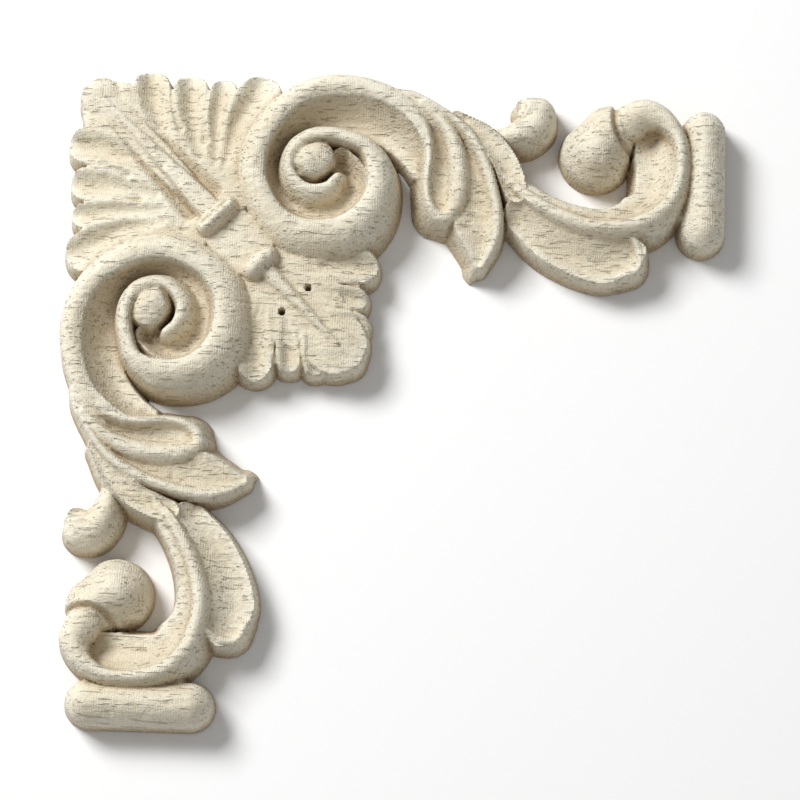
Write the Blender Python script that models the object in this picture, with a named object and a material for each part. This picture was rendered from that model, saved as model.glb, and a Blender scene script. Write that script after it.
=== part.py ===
# Carved wooden corner onlay: one board with a flat back, carved on its upper side.
# The two arms are mirror images about the corner's diagonal, so one arm is designed and mirrored.
# Design sizes are in millimetres: a runs along an arm from the outer corner, b runs across it,
# and z stands up from the flat back. The model itself is in metres.
# Forms are strokes along curved paths. Values given as a pair are for the two sides of the stroke:
# first the left side of travel, then the right side.

import bpy
import numpy as np

# Driving sizes, in millimetres
CELL = 0.6               # spacing of the points that the relief is worked out on
EDGE_MARGIN = 4.0        # empty border kept round the outline
ARM_LENGTH = 121.0       # outer corner to the end of the bar
ORIGIN = 30.0            # the origin is on the diagonal, this far along both arms
TRIANGLES = 9400         # size of the finished mesh
PIN_HOLE = (45.0, 40.4)  # place of the pin hole on one side of the diagonal
PIN_RADIUS = 0.63
PIN_DEPTH = 4.0          # height above the back that the hole reaches down to
PIN_TOP = 14.0           # the cutter reaches this high, clear of the carving
PIN_SIDES = 10

# How the forms meet and fall away
WALL_SLOPE = 6.0         # rise of the side walls for each millimetre inwards
OUTER_WALL = 12.0        # the same for the steep outer walls
INNER_EDGE_WALL = 8.0    # the same for the inner leaf
FOLD_WALLS = ((3.0,), (12.0,))   # gentle towards the arm's inner side, steep towards its outer side
COVE_WALLS = ((3.4,), (6.0,))    # gentle under the volute's rim
SOFTNESS = 0.45          # how far two forms blend where they meet
SIDE_SHARPNESS = 1.2     # how quickly one side's values give way to the other's round a path's end
FORM_REACH = 14.0        # how far from its path a form is worked out
CUT_REACH = 6.0
EMPTY = -9.0             # height where there is no wood
FAR = 1e9
TINY = 1e-6
CURVE_STEPS = 24         # points worked out between two given points of a curve
FINE_STEPS = 200

WOOD_COLOR = (0.76, 0.66, 0.48, 1.0)
WOOD_ROUGHNESS = 0.8
MM = 0.001               # metres in a millimetre
CROSSING_MARGIN = 0.08   # keeps outline points this share of a cell away from grid points


def curve(points, count):
    """Points evenly spaced along a smooth curve, and how far each is through the given points."""
    p = np.array(points, float)
    ends = np.vstack([2 * p[0] - p[1], p, 2 * p[-1] - p[-2]])
    t = np.linspace(0, 1, CURVE_STEPS, endpoint=False)[:, None]
    stretches = []
    for k in range(len(p) - 1):
        q0, q1, q2, q3 = ends[k:k + 4]
        bend = 2 * q0 - 5 * q1 + 4 * q2 - q3
        twist = 3 * q1 - q0 - 3 * q2 + q3
        stretches.append(0.5 * (2 * q1 + (q2 - q0) * t + bend * t ** 2 + twist * t ** 3))
    line = np.vstack(stretches + [p[-1:]])
    run = np.r_[0, np.cumsum(np.hypot(*np.diff(line, axis=0).T))]
    even = np.linspace(0, run[-1], count)
    through = np.linspace(0, 1, len(line))
    return np.c_[np.interp(even, run, line[:, 0]), np.interp(even, run, line[:, 1]),
                 np.interp(even, run, through)]


def along(values, share):
    """Values given for the points of a path, read at a share of the way through them."""
    values = np.atleast_1d(np.asarray(values, float))
    if len(values) < 3:
        return np.interp(share, np.linspace(0, 1, len(values)), values)
    smooth = curve(np.c_[np.linspace(0, 1, len(values)), values], FINE_STEPS)
    return np.interp(share, smooth[:, 0], smooth[:, 1])


def both_sides(values, left, share):
    """Values for the left and right side of travel: a pair of lists, or one list for both."""
    if isinstance(values, tuple) and isinstance(values[0], tuple):
        return left * along(values[0], share) + (1 - left) * along(values[1], share)
    return along(values, share)


class Relief:
    """Heights of the carved side over a grid of points."""

    def __init__(self, a, b):
        self.a = a
        self.b = b
        self.z = np.full(a.shape, EMPTY)

    def near(self, line, reach):
        """The grid points near a line: which they are, how far off, on which side, how far along."""
        low = line[:, :2].min(axis=0) - reach
        high = line[:, :2].max(axis=0) + reach
        here = (self.a > low[0]) & (self.a < high[0]) & (self.b > low[1]) & (self.b < high[1])
        a = self.a[here]
        b = self.b[here]
        best = np.full(a.shape, FAR)
        share = np.zeros(a.shape)
        left = np.zeros(a.shape)
        for k in range(len(line) - 1):
            start = line[k, :2]
            step = line[k + 1, :2] - start
            t = np.clip(((a - start[0]) * step[0] + (b - start[1]) * step[1]) / (step @ step), 0, 1)
            off_a = a - start[0] - t * step[0]
            off_b = b - start[1] - t * step[1]
            distance = off_a ** 2 + off_b ** 2
            nearer = distance < best
            best[nearer] = distance[nearer]
            share[nearer] = (line[k, 2] + t * (line[k + 1, 2] - line[k, 2]))[nearer]
            turn = (step[0] * off_b - step[1] * off_a) / np.sqrt((step @ step) * (distance + TINY))
            left[nearer] = np.clip(0.5 + SIDE_SHARPNESS * turn, 0, 1)[nearer]
        return here, np.sqrt(best), left, share

    def add(self, path, width, middle, edge, power=2.0, wall=WALL_SLOPE, count=60):
        """Raises a form along a path: half width, middle height and edge height from start to end."""
        here, distance, left, share = self.near(curve(path, count), FORM_REACH)
        half = both_sides(width, left, share)
        top = along(middle, share)
        side = both_sides(edge, left, share)
        fall = np.maximum(distance - half, 0) * both_sides(wall, left, share)
        height = top + (side - top) * np.clip(distance / half, 0, 1) ** power - fall
        old = self.z[here]
        blend = np.maximum(SOFTNESS - np.abs(old - height), 0) / SOFTNESS
        self.z[here] = np.maximum(old, height) + blend ** 2 * SOFTNESS / 4

    def cut(self, path, width, floor, slope=2.0, count=60):
        """Cuts a groove along a path: flat to the half width, then rising at the slope."""
        here, distance, left, share = self.near(curve(path, count), CUT_REACH)
        height = along(floor, share) + np.maximum(distance - along(width, share), 0) * slope
        old = self.z[here]
        blend = np.maximum(SOFTNESS - np.abs(old - height), 0) / SOFTNESS
        self.z[here] = np.minimum(old, height) - blend ** 2 * SOFTNESS / 4

    def scoop(self, path, width, depth, count=60):
        """Hollows a shallow dish along a path, fading out at its sides."""
        here, distance, left, share = self.near(curve(path, count), CUT_REACH)
        across = np.clip(distance / along(width, share), 0, 1)
        self.z[here] -= along(depth, share) * (1 - across ** 2) ** 2


def corner_leaf(form):
    """The leaf that fills the outer corner: hollow lobes with sharp ridges between, and a midrib."""
    form.add([(6.2, 5.8), (15, 9.6), (22, 9.8), (31, 10.4)], (3.8, 6.0, 6.2, 6.2), (8.7, 8.7, 8.7, 8.7),
             (7.9, 7.6, 7.6, 7.6), wall=OUTER_WALL)
    form.add([(9, 8), (18, 14), (27, 20)], (3.0, 5.4, 7.0), (8.8, 8.8, 8.8), (8.4, 8.4, 8.4), wall=3)
    lobes = (((18, 14), (15.2, 8), (15.0, 3.6)), ((22.0, 15), (22, 9), (22.2, 4.0)),
             ((26, 16), (27, 9), (28.2, 3.7)), ((29, 18), (31, 10), (35, 4.3)))
    for lobe, width in zip(lobes, (3.4, 3.2, 2.4, 3.8)):
        form.add(lobe, (2, width, width), (8.2, 8.6, 8.2), (7.8, 8.4, 7.8), wall=OUTER_WALL)
    form.scoop([(18.6, 14.5), (15.8, 7), (14.9, 0.2)], (1.8, 3.0, 3.3), (0.3, 1.5, 2.2))
    form.scoop([(24.2, 16.5), (22.6, 8), (22.2, 0.2)], (1.6, 2.8, 3.2), (0.3, 1.6, 2.2))
    form.scoop([(27.2, 17.5), (27.3, 9), (28.3, 0.6)], (1.4, 2.2, 2.5), (0.3, 1.4, 1.9))
    form.scoop([(29.0, 18), (30.6, 11), (34.0, 4.6), (36, 0.6)], (1.2, 2.6, 3.2, 3.4),
               (0.2, 1.4, 1.9, 1.6))
    form.scoop([(10.4, 7.4), (8.2, 4.2), (7.8, 1.1)], (1.2, 2.4, 2.6), (0.1, 0.9, 1.1))
    form.scoop([(18.6, 2.0), (19.0, 7.5), (20.6, 11.5)], (0.6, 0.7, 1.1), (0.3, 0.4, 0.9))
    form.scoop([(25.3, 3.0), (25.0, 9.5), (25.2, 13.6)], (0.6, 0.6, 1.1), (0.3, 0.4, 1.0))
    form.scoop([(6.8, 5.2), (14, 11.6), (21, 17.9), (27.0, 23.2)], (0.6, 1.8, 2.4, 2.6),
               (0.6, 1.4, 1.8, 1.9))
    form.add([(4.6, 4.6), (27.0, 27.0)], (0.2, 2.1), (8.8, 10.9), (8.5, 10.0), power=3, wall=6)


def inner_leaf(form):
    """The small leaf in the inner corner, with its midrib on the diagonal."""
    form.add([(39, 39), (50.2, 50.2)], (8.2, 5.8), (8.2, 7.8), (7.8, 7.2), wall=INNER_EDGE_WALL)
    lobes = (((42, 37), (48, 36.2), (54.4, 35.8)), ((43, 41), (49, 41.4), (53.8, 42.0)),
             ((45, 44.5), (50, 46.0), (54.2, 46.8)), ((46, 46), (50, 50), (52.6, 52.6)))
    for lobe, width in zip(lobes, (3.2, 2.1, 2.1, 2.8)):
        form.add(lobe, (2.0, width, width), (7.8, 8.2, 7.6), (7.4, 8.0, 7.2), wall=INNER_EDGE_WALL)
    form.scoop([(43.6, 36.9), (50, 36.0), (57, 35.8)], (1.0, 2.6, 3.2), (0.2, 1.2, 1.8))
    form.scoop([(46.2, 41.2), (51, 41.7), (57, 42.3)], (0.8, 1.8, 2.2), (0.2, 1.2, 1.8))
    form.scoop([(48.0, 45.4), (52, 46.3), (57, 47.2)], (0.8, 1.7, 2.1), (0.2, 1.1, 1.6))
    form.scoop([(39.6, 37.2), (45, 42.6), (50.5, 48.2)], (1.1, 1.3, 0.9), (0.8, 1.2, 0.5))
    form.add([(37, 37), (50.6, 50.6)], (1.4, 0.5), (10.0, 8.8), (9.0, 8.2), wall=2.5)


def beads(form):
    """Two beads across the diagonal with a small smooth plate between them."""
    form.add([(30.2, 30.2), (33.6, 33.6)], (4.6, 4.8), (8.9, 8.9), (8.6, 8.6), wall=3)
    form.add([(27.9, 27.9), (29.9, 25.9)], (2.0, 1.7), (12.0, 11.6), (9.8, 9.6), wall=5)
    form.add([(36.2, 36.2), (37.5, 34.9)], (2.3, 1.9), (12.0, 11.4), (9.2, 9.0), wall=5)


def volute(form):
    """The large scroll: a cove that winds in to the eye, its rounded rim, and the ball."""
    cove = [(64, 17.6), (62.5, 14.6), (59.5, 12), (56, 10.6), (51.5, 9.7), (47.3, 9.9), (43.3, 11),
            (40, 13.6), (38.6, 17.4), (39.2, 21.4), (41.8, 24.8), (45.4, 26.3), (49, 25.4),
            (51.6, 22.9), (52.2, 19.6), (50.2, 16.6)]
    form.add(cove,
             ((1.4, 3.3, 4.4, 5.1, 5.2, 5.0, 4.1, 3.1, 2.9, 2.8, 3.0, 2.8, 3.0, 3.2, 2.6, 2.2),
              (1.0, 1.6, 1.7, 1.5, 1.4, 1.4, 1.4, 1.4, 1.4, 1.4, 1.4, 1.2, 1.2, 1.3, 1.8, 2.3)),
             (5.2, 5.2, 5.2, 5.2, 5.2, 5.4, 5.6, 5.8, 6.0, 6.2, 6.2, 6.0, 5.8, 5.4, 5.0, 4.6),
             ((9.0, 10.2, 11, 11.2, 11.4, 11.4, 11.4, 11.2, 11, 11, 11, 11, 11, 10.8, 10.4, 9.4),
              (5.0, 5.0, 5.0, 5.2, 5.6, 5.8, 6.0, 6.2, 6.4, 6.6, 6.6, 6.4, 6.0, 5.8, 6.6, 8.6)),
             power=1.8, wall=COVE_WALLS, count=160)
    crest = [(66.2, 12.8), (64.6, 9.4), (61.8, 6.4), (58.3, 4.6), (53.8, 3.2), (48.6, 2.9), (43.6, 4.4),
             (39.3, 7.8), (35.7, 13.4), (34.7, 18.7), (35.8, 23), (38.3, 27), (41.9, 29.4), (46.1, 30),
             (50.8, 29.1), (54.8, 26), (56.6, 22), (56.5, 17.8), (54.5, 14.4), (51.5, 12.9), (48, 12.2),
             (44.5, 12.6), (41.8, 14.5), (40.8, 17.4), (41.8, 20.3), (44.6, 22.1), (47.6, 21.6),
             (49.4, 19.8)]
    outer_width = (0.8, 1.4, 1.9, 2.2, 2.2, 2.3, 2.4, 2.8, 3.2, 3.3, 3.4, 3.8, 4.4, 4.8, 5.0, 4.4, 3.6,
                   3.0, 2.0, 1.6, 1.5, 1.5, 1.5, 1.8, 2.6, 3.2, 2.8, 1.6)
    inner_width = (1.0,) * 22 + (1.2, 0.9, 0.8, 0.8, 0.8, 0.8)
    height = (10.6, 11.2, 11.6) + (12.0,) * 18 + (11.8, 11.6, 11.2, 10.8, 10.6, 10.4, 9.8)
    outer_edge = (9.4, 9.6, 9.8, 9.8, 9.8, 9.8, 9.8, 9.6, 9.4, 9.2, 9.0, 8.6, 8.4, 8.2, 8.0, 8.2, 8.6,
                  9.4, 10.2, 10.4, 10.4, 10.2, 9.6, 8.4, 7.0, 6.2, 6.4, 7.6)
    inner_edge = (10.0,) + (11.2,) * 21 + (11.0, 10.6, 10.0, 9.8, 9.6, 9.2)
    wall = (12, 14, 14, 14, 14, 14, 12, 9, 7, 5, 4, 4, 4, 5, 6, 8, 8, 8, 7, 7, 7, 7, 6, 4)
    form.add(crest, (outer_width, inner_width), height, (outer_edge, inner_edge), wall=wall, count=260)
    form.add([(44.4, 16.6), (45.4, 16.2)], (3.5, 3.3), (11.6, 11.4), (9.8, 9.8))
    form.scoop([(42.2, 18.8), (44.4, 20.4), (47.0, 19.9), (48.9, 18.2)], (0.8, 1.1, 1.2, 1.1),
               (0.5, 1.5, 1.9, 1.6))


def leaf_spray(form):
    """The folded leaf that grows from the volute's band: rounded lobe, pointed leaf and small lobe."""
    form.add([(57, 4.6), (62, 5.4), (67.5, 7.9), (72, 9.8), (76, 10.6)], (1.6, 2.5, 2.4, 1.9, 1.6),
             (11.0, 10.8, 10.2, 9.6, 9.0), (9.8, 9.2, 8.6, 8.0, 7.4), wall=OUTER_WALL)
    form.add([(63.5, 6.4), (67, 10), (68.6, 15), (68.8, 20), (68.6, 24.0)],
             ((0.8, 2.2, 2.6, 2.8, 2.4), (1.0, 2.2, 2.8, 2.8, 2.4)),
             (10.2, 8.4, 7.4, 7.2, 7.6), (10.8, 10.2, 9.8, 9.4, 8.8), wall=FOLD_WALLS)
    form.add([(62.8, 6.4), (65.4, 10.3), (66.2, 15), (65.9, 19.5), (66.2, 23.2), (67.6, 25.8), (69.4, 26.4)],
             (0.7, 0.7, 0.8, 0.8, 0.8, 1.0, 1.2), (11.0, 10.8, 10.4, 10.0, 9.6, 9.2, 9.0),
             (10.2, 9.8, 9.2, 8.8, 8.6, 8.2, 8.0), wall=4.5)
    form.add([(66, 6.2), (70, 9.0), (73.0, 12.8), (75.0, 18), (76.2, 23.5), (76.4, 29), (75.9, 34.6)],
             ((0.7, 1.8, 2.8, 4.2, 5.4, 4.6, 0.8), (0.6, 1.2, 1.5, 1.8, 2.0, 1.6, 0.6)),
             (9.8, 8.8, 8.2, 7.8, 7.2, 6.8, 6.2),
             ((10.8, 10.6, 10.4, 9.8, 8.6, 7.8, 6.6), (10.8, 10.6, 10.4, 10.0, 9.4, 8.4, 6.8)),
             power=1.3, wall=FOLD_WALLS)
    form.add([(64.8, 5.6), (68.6, 9.2), (70.8, 13), (71.8, 18), (71.6, 22.6), (70.4, 25.8)],
             (0.8, 1.1, 1.5, 1.8, 1.8, 1.4), (11.2, 11.0, 10.8, 10.4, 9.8, 9.2),
             (10.2, 9.8, 9.4, 8.8, 8.4, 8.0), wall=FOLD_WALLS)
    form.add([(65.4, 5.2), (69.8, 7.9), (73.3, 11), (76.2, 15.8), (78.0, 21), (79.0, 26), (78.6, 30.5),
              (76.4, 35.2)],
             (0.6, 0.7, 0.9, 1.0, 1.0, 1.0, 0.9, 0.5), (11.2, 11.2, 11.0, 10.6, 10.2, 9.6, 8.6, 6.6),
             (10.4, 10.2, 10.0, 9.6, 9.2, 8.6, 7.6, 6.2), wall=FOLD_WALLS)
    form.add([(71, 7.8), (76.0, 11.1), (79.4, 14.8), (81.4, 18.8), (82.2, 21.6)],
             (1.0, 1.9, 2.1, 2.2, 1.9), (9.6, 9.0, 8.8, 8.6, 8.4), (10.2, 10.4, 10.2, 9.8, 9.2), wall=7)


def hook(form):
    """The small hook that curls outwards, hollowed on its inner side."""
    form.add([(72, 9.6), (76, 10.8), (79.6, 10.9), (83.2, 9.8), (85.6, 7.8), (86.0, 5.9)],
             (1.4, 1.6, 2.0, 3.2, 3.5, 3.2), (9.2, 9.0, 9.0, 9.0, 8.6, 8.4),
             (7.6, 7.0, 6.4, 5.8, 5.4, 5.8), wall=8)
    form.add([(84.0, 5.1), (86.4, 5.1)], (2.2, 2.2), (8.2, 8.0), (6.8, 6.4), wall=10)
    form.scoop([(82.0, 7.8), (82.9, 5.2), (83.4, 3.0)], (1.0, 1.4, 1.1), (0.6, 1.6, 0.8))


def curled_end(form):
    """The stem with its raised rim, curling round to the ball, and the lower leaf beside it."""
    form.add([(82.5, 26.5), (87.5, 30), (93, 32.8), (98.5, 34), (102.5, 33.4)],
             ((1.8, 2.9, 3.2, 3.5, 2.6), (3.5, 4.8, 5.6, 6.0, 4.4)), (6.2, 6.2, 6.0, 6.0, 6.2),
             ((6.4, 6.8, 6.8, 6.8, 7.2), (8.8, 9.8, 10.2, 10.2, 8.4)), power=1.5, wall=7)
    form.add([(100.5, 27.6), (103.6, 29.2), (105.2, 32.2), (104.6, 34.8), (101.5, 36.2)],
             (0.8, 0.7, 0.7, 0.6, 0.5), (10.2, 9.2, 8.2, 7.6, 7.2), (9.4, 8.4, 7.6, 7.0, 6.6), wall=5)
    stem = [(80.5, 17.4), (84.5, 20.6), (89, 23.0), (94, 24.5), (99, 25.0), (103.2, 23.8),
            (106.4, 20.4), (107.3, 15.4), (106.4, 11.6)]
    form.add(stem,
             ((1.4, 2.4, 2.6, 2.6, 2.6, 2.8, 3.6, 4.4, 3.6), (1.2, 1.2, 1.2, 1.2, 1.4, 3.0, 3.4, 3.6, 3.0)),
             (8.6, 8.8, 8.8, 8.6, 8.0, 6.8, 6.0, 5.8, 5.8),
             ((9.4, 10.2, 10.6, 10.8, 10.8, 10.8, 10.8, 10.8, 10.6),
              (7.8, 7.6, 7.4, 7.2, 6.8, 6.2, 5.8, 5.8, 5.8)),
             power=1.7, wall=9, count=90)
    rim = [(81.5, 19.6), (84.5, 22.3), (88.5, 24.9), (93, 26.8), (97.5, 27.8), (102.5, 27.4),
           (107.6, 25.2), (111.0, 21.2), (112.2, 16.0), (111.6, 10.9), (109.2, 7.1), (105.8, 5.8),
           (102.8, 7.2)]
    form.add(rim,
             ((0.8, 1.1, 1.3, 1.5, 1.7, 2.2, 2.8, 2.4, 1.9, 1.8, 1.9, 2.6, 3.0),
              (0.8, 1.0, 1.2, 1.2, 1.2, 1.2, 1.2, 1.1, 1.0, 1.0, 1.8, 2.9, 3.1)),
             (9.4, 10.4, 10.8, 11, 11.2, 11.2, 11.2, 11.2, 11.2, 11.2, 11.2, 11.0, 10.8),
             ((8.4, 9.0, 9.2, 9.2, 9.0, 8.0, 7.4, 7.6, 8.2, 9.0, 9.2, 9.0, 8.8),
              (8.6, 9.4, 9.8, 10.2, 10.4, 10.4, 10.4, 10.4, 10.4, 10.4, 9.6, 8.6, 8.6)),
             wall=(6, 5, 4, 4, 4, 4, 6, 8, 9, 12, 12, 12, 10), count=160)
    form.add([(99.2, 8.8), (97.0, 12.6)], (5.0, 6.3), (11.2, 11.4), (5.6, 4.8), wall=9)
    form.scoop([(101.6, 1.8), (100.1, 4.8), (99.9, 8.2), (101.2, 11.2), (103.4, 12.8)],
               (0.6, 0.8, 0.9, 0.9, 0.9), (1.0, 1.8, 2.0, 2.0, 1.4))
    form.cut([(103.4, 13.4), (103.2, 15.2), (102.5, 19.5)], (0.2, 0.3, 0.5), (4.4, 2.0, -0.5), slope=4)


def end_bar(form):
    """The rounded bar across the arm's end, with the cove beside it."""
    form.add([(112.9, 9.4), (112.9, 23.6)], (1.6, 1.6), (6.6, 6.6), (6.8, 6.8), wall=8)
    form.add([(116.6, 8.5), (116.6, 26.6)], (3.9, 3.9), (10.2, 10.2), (6.6, 6.6), wall=10)


def arm_relief(a, b):
    """Heights of one arm, which its mirror image completes."""
    form = Relief(a, b)
    corner_leaf(form)
    inner_leaf(form)
    volute(form)
    beads(form)
    leaf_spray(form)
    hook(form)
    curled_end(form)
    end_bar(form)
    return form.z


def inside_polygons(z):
    """Cuts the grid along z = 0. Gives the points, and the faces as lists of point numbers."""
    points = []
    corner_ids = -np.ones(z.shape, int)
    for i, j in zip(*np.nonzero(z > 0)):
        corner_ids[i, j] = len(points)
        points.append((float(j), float(i), float(z[i, j])))
    crossing_ids = {}

    def crossing(p, q):
        key = (min(p, q), max(p, q))
        if key not in crossing_ids:
            zp, zq = z[key[0]], z[key[1]]
            share = min(max(zp / (zp - zq), CROSSING_MARGIN), 1 - CROSSING_MARGIN)
            row = key[0][0] + share * (key[1][0] - key[0][0])
            col = key[0][1] + share * (key[1][1] - key[0][1])
            crossing_ids[key] = len(points)
            points.append((col, row, 0.0))
        return crossing_ids[key]

    faces = []
    any_inside = (z[:-1, :-1] > 0) | (z[1:, :-1] > 0) | (z[:-1, 1:] > 0) | (z[1:, 1:] > 0)
    for i, j in zip(*np.nonzero(any_inside)):
        ring = [(i, j), (i, j + 1), (i + 1, j + 1), (i + 1, j)]
        face = []
        for p, q in zip(ring, ring[1:] + ring[:1]):
            if z[p] > 0:
                face.append(corner_ids[p])
            if (z[p] > 0) != (z[q] > 0):
                face.append(crossing(p, q))
        faces.append(face)
    return points, faces


def onlay_mesh(z, start):
    """A closed mesh: the relief on top and the same outline filled flat at the back."""
    points, faces = inside_polygons(z)
    count = len(points)
    on_outline = [p[2] == 0.0 for p in points]
    back_ids = list(range(count))
    verts = []
    for col, row, height in points:
        verts.append(place(start + col * CELL, start + row * CELL, height))
    for k, (col, row, height) in enumerate(points):
        if not on_outline[k]:
            back_ids[k] = len(verts)
            verts.append(place(start + col * CELL, start + row * CELL, 0.0))
    top = [face[::-1] for face in faces]
    back = [[back_ids[k] for k in face] for face in faces]
    mesh = bpy.data.meshes.new("corner_onlay")
    mesh.from_pydata(verts, [], top + back)
    mesh.validate()
    return mesh


def place(a, b, height):
    """A point of the design, in metres in the model's frame."""
    return ((a - ORIGIN) * MM, (ORIGIN - b) * MM, height * MM)


def wood():
    material = bpy.data.materials.new("pale_wood")
    material.use_nodes = True
    shader = material.node_tree.nodes["Principled BSDF"]
    shader.inputs["Base Color"].default_value = WOOD_COLOR
    shader.inputs["Roughness"].default_value = WOOD_ROUGHNESS
    shader.inputs["Metallic"].default_value = 0.0
    return material


def pin_cutter(name, a, b):
    """The pin that cuts one nail hole."""
    bpy.ops.mesh.primitive_cylinder_add(
        vertices=PIN_SIDES,
        radius=PIN_RADIUS * MM,
        depth=(PIN_TOP - PIN_DEPTH) * MM,
        location=place(a, b, (PIN_TOP + PIN_DEPTH) / 2))
    cutter = bpy.context.object
    cutter.name = name
    cutter.hide_render = True
    cutter.display_type = "WIRE"
    return cutter


def main():
    for obj in list(bpy.data.objects):
        bpy.data.objects.remove(obj, do_unlink=True)
    a = np.arange(-EDGE_MARGIN, ARM_LENGTH + EDGE_MARGIN, CELL)
    grid_a, grid_b = np.meshgrid(a, a)
    half = arm_relief(grid_a, grid_b)
    z = np.maximum(half, half.T)
    mesh = onlay_mesh(z, a[0])
    onlay = bpy.data.objects.new("corner_onlay", mesh)
    bpy.context.collection.objects.link(onlay)
    mesh.materials.append(wood())
    corners = sum(len(face.vertices) - 2 for face in mesh.polygons)
    thin = onlay.modifiers.new("fewer_faces", "DECIMATE")
    thin.ratio = TRIANGLES / corners
    thin.use_collapse_triangulate = True
    for number, (hole_a, hole_b) in enumerate((PIN_HOLE, PIN_HOLE[::-1])):
        cut = onlay.modifiers.new(f"pin_hole_{number + 1}", "BOOLEAN")
        cut.operation = "DIFFERENCE"
        cut.solver = "EXACT"
        cut.object = pin_cutter(f"pin_cutter_{number + 1}", hole_a, hole_b)


main()
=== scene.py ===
# The look of the carved wooden corner onlay: a fine carved surface, raw pale wood, soft light.
# Design sizes are in millimetres: a runs along an arm from the outer corner, b runs across it,
# and z stands up from the flat back. The scene itself is in metres.
# Forms are strokes along curved paths. Values given as a pair are for the two sides of the stroke:
# first the left side of travel, then the right side, in a plan with a to the right and b upwards.

import math
import bmesh
import bpy
import numpy as np
from mathutils import Matrix, Vector


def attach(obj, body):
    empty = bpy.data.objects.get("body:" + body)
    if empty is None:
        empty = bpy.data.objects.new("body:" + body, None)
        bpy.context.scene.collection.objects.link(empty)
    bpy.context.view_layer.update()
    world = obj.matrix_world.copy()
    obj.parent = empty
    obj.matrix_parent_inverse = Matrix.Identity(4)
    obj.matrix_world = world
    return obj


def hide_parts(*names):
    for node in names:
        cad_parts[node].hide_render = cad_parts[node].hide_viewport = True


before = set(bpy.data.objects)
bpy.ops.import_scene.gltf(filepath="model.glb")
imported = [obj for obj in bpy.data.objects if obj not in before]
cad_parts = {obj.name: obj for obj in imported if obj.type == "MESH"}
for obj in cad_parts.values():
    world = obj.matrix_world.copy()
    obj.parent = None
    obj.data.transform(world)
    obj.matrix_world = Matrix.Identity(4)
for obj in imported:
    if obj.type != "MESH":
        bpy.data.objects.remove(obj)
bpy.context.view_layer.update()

# Sizes of the carving, in millimetres
CELL = 0.28              # spacing of the points that the relief is worked out on
EDGE_MARGIN = 4.0        # empty border kept round the outline
ARM_LENGTH = 121.0       # outer corner to the end of the bar
ORIGIN = 30.0            # the origin is on the diagonal, this far along both arms
PIN_HOLE = (45.0, 40.4)  # place of the pin hole on one side of the diagonal
PIN_FLOOR = 0.35         # radius at the bottom of the hole
PIN_DEPTH = 4.0          # height above the back that the hole reaches down to
PIN_SLOPE = 14.0         # steepness of the hole's side
MM = 0.001               # metres in a millimetre
CROSSING_MARGIN = 0.08   # keeps outline points this share of a cell away from grid points
SHARP_EDGE = 60.0        # degrees

# How the forms meet and fall away
WALL_SLOPE = 6.0         # rise of the side walls for each millimetre inwards
OUTER_WALL = 12.0        # the same for the steep outer walls
INNER_EDGE_WALL = 8.0    # the same for the inner leaf
FOLD_WALLS = ((3.0,), (12.0,))   # gentle towards the volute, steep towards the arm's end
COVE_WALLS = ((3.4,), (6.0,))    # gentle under the volute's rim
SOFTNESS = 0.45          # how far two forms blend where they meet
SIDE_SHARPNESS = 1.2     # how quickly one side's values give way to the other's round a path's end
FORM_REACH = 14.0        # how far from its path a form is worked out
CUT_REACH = 6.0          # the same for a groove or a hollow
EMPTY = -9.0             # height where there is no wood
FAR = 1e9                # more than any distance
TINY = 1e-6              # keeps a division from being by zero
CURVE_STEPS = 24         # points worked out between two given points of a curve
STROKE_STEPS = 60        # points worked out along a short stroke
FINE_STEPS = 200         # points worked out where values are read along a stroke

# Fine relief that the tool and the grain leave, in millimetres
TOOL_WAVES = (2.6, 2.2, 0.05)    # length along the grain, width, depth, as for the next three
OPEN_GRAIN = (4.2, 0.6, 0.16)
FUZZ = (0.7, 0.6, 0.05)
NICKS = (1.3, 1.0, 0.15)
WAVE_SEED = 1
FUZZ_SEED = 2
GRAIN_SEED = 3
NICK_SEED = 4
OPEN_FROM = 0.66         # random values above this open a pore or nick the wood
OPEN_FULL = 0.92         # random values above this open it to its full depth
# The next three judge where shade is painted into the hollows and a highlight onto the crests
HOLLOW_REACH = 1.0       # how far round a point its hollow or crest is judged
HOLLOW_DEPTH = 1.6       # a point this far under its surroundings counts as fully hollow
CREST_HEIGHT = 1.1       # a point this far over its surroundings counts as fully on a crest
BLUR_SPAN = 3            # how many reaches to each side the average takes in

# The camera: over the carving, leaning towards its lower side
VIEW_CENTRE = (62.3, 60.03, 5.0)   # what the middle of the picture shows: a, b and z in millimetres
LEAN_DOWN = 11.0                   # degrees towards the photo's lower side
LEAN_LEFT = 0.22                   # degrees towards its left side
ROLL = 1.86                        # degrees round the line of sight
DISTANCE = 0.6                     # metres
PICTURE_WIDTH = 144.8              # millimetres of the carving's plane across the picture
SENSOR = 36.0                      # millimetres
CLIP_START = 0.01                  # metres

# Surface of the raw wood
BUMP_HEIGHT = 0.0002     # metres
ROUGH_LOW = 0.72
ROUGH_HIGH = 0.92
ROUGH_FROM = 0.3         # fuzz values that give the lowest and the highest roughness
ROUGH_TO = 0.7
WOOD_SHINE = 0.25
TOOL_LINES = 2.3         # tool lines for each millimetre
TOOL_LINE_BEND = 4.5     # how much the tool lines waver
TOOL_LINE_DETAIL = 0.6   # how fine the wavering is
LINES_OVER_PI = 10       # lines that the pattern draws over a length of pi at scale 1
TICK_LEAST = 0.12        # share of the tool lines that is left where they are faintest
WALL_STREAKS = 1.5       # height of the streaks down the walls, as a share of the bump height

# Lights and floor, in metres and watts
KEY_PLACE = (-0.52, 0.42, 0.74)
KEY_SIZE = 0.38
KEY_POWER = 10.8
FILL_PLACE = (0.5, -0.6, 0.8)
FILL_SIZE = 0.8
FILL_POWER = 1.0
ROOM_TONE = (1, 1, 1, 1)
ROOM_LIGHT = 0.26
MIDDLE = (0.03, -0.03, 0.0)
FLOOR_PLACE = (0.03, -0.03, -0.0002)
FLOOR_SIZE = 3.0
FLOOR_ROUGHNESS = 0.9
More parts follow.
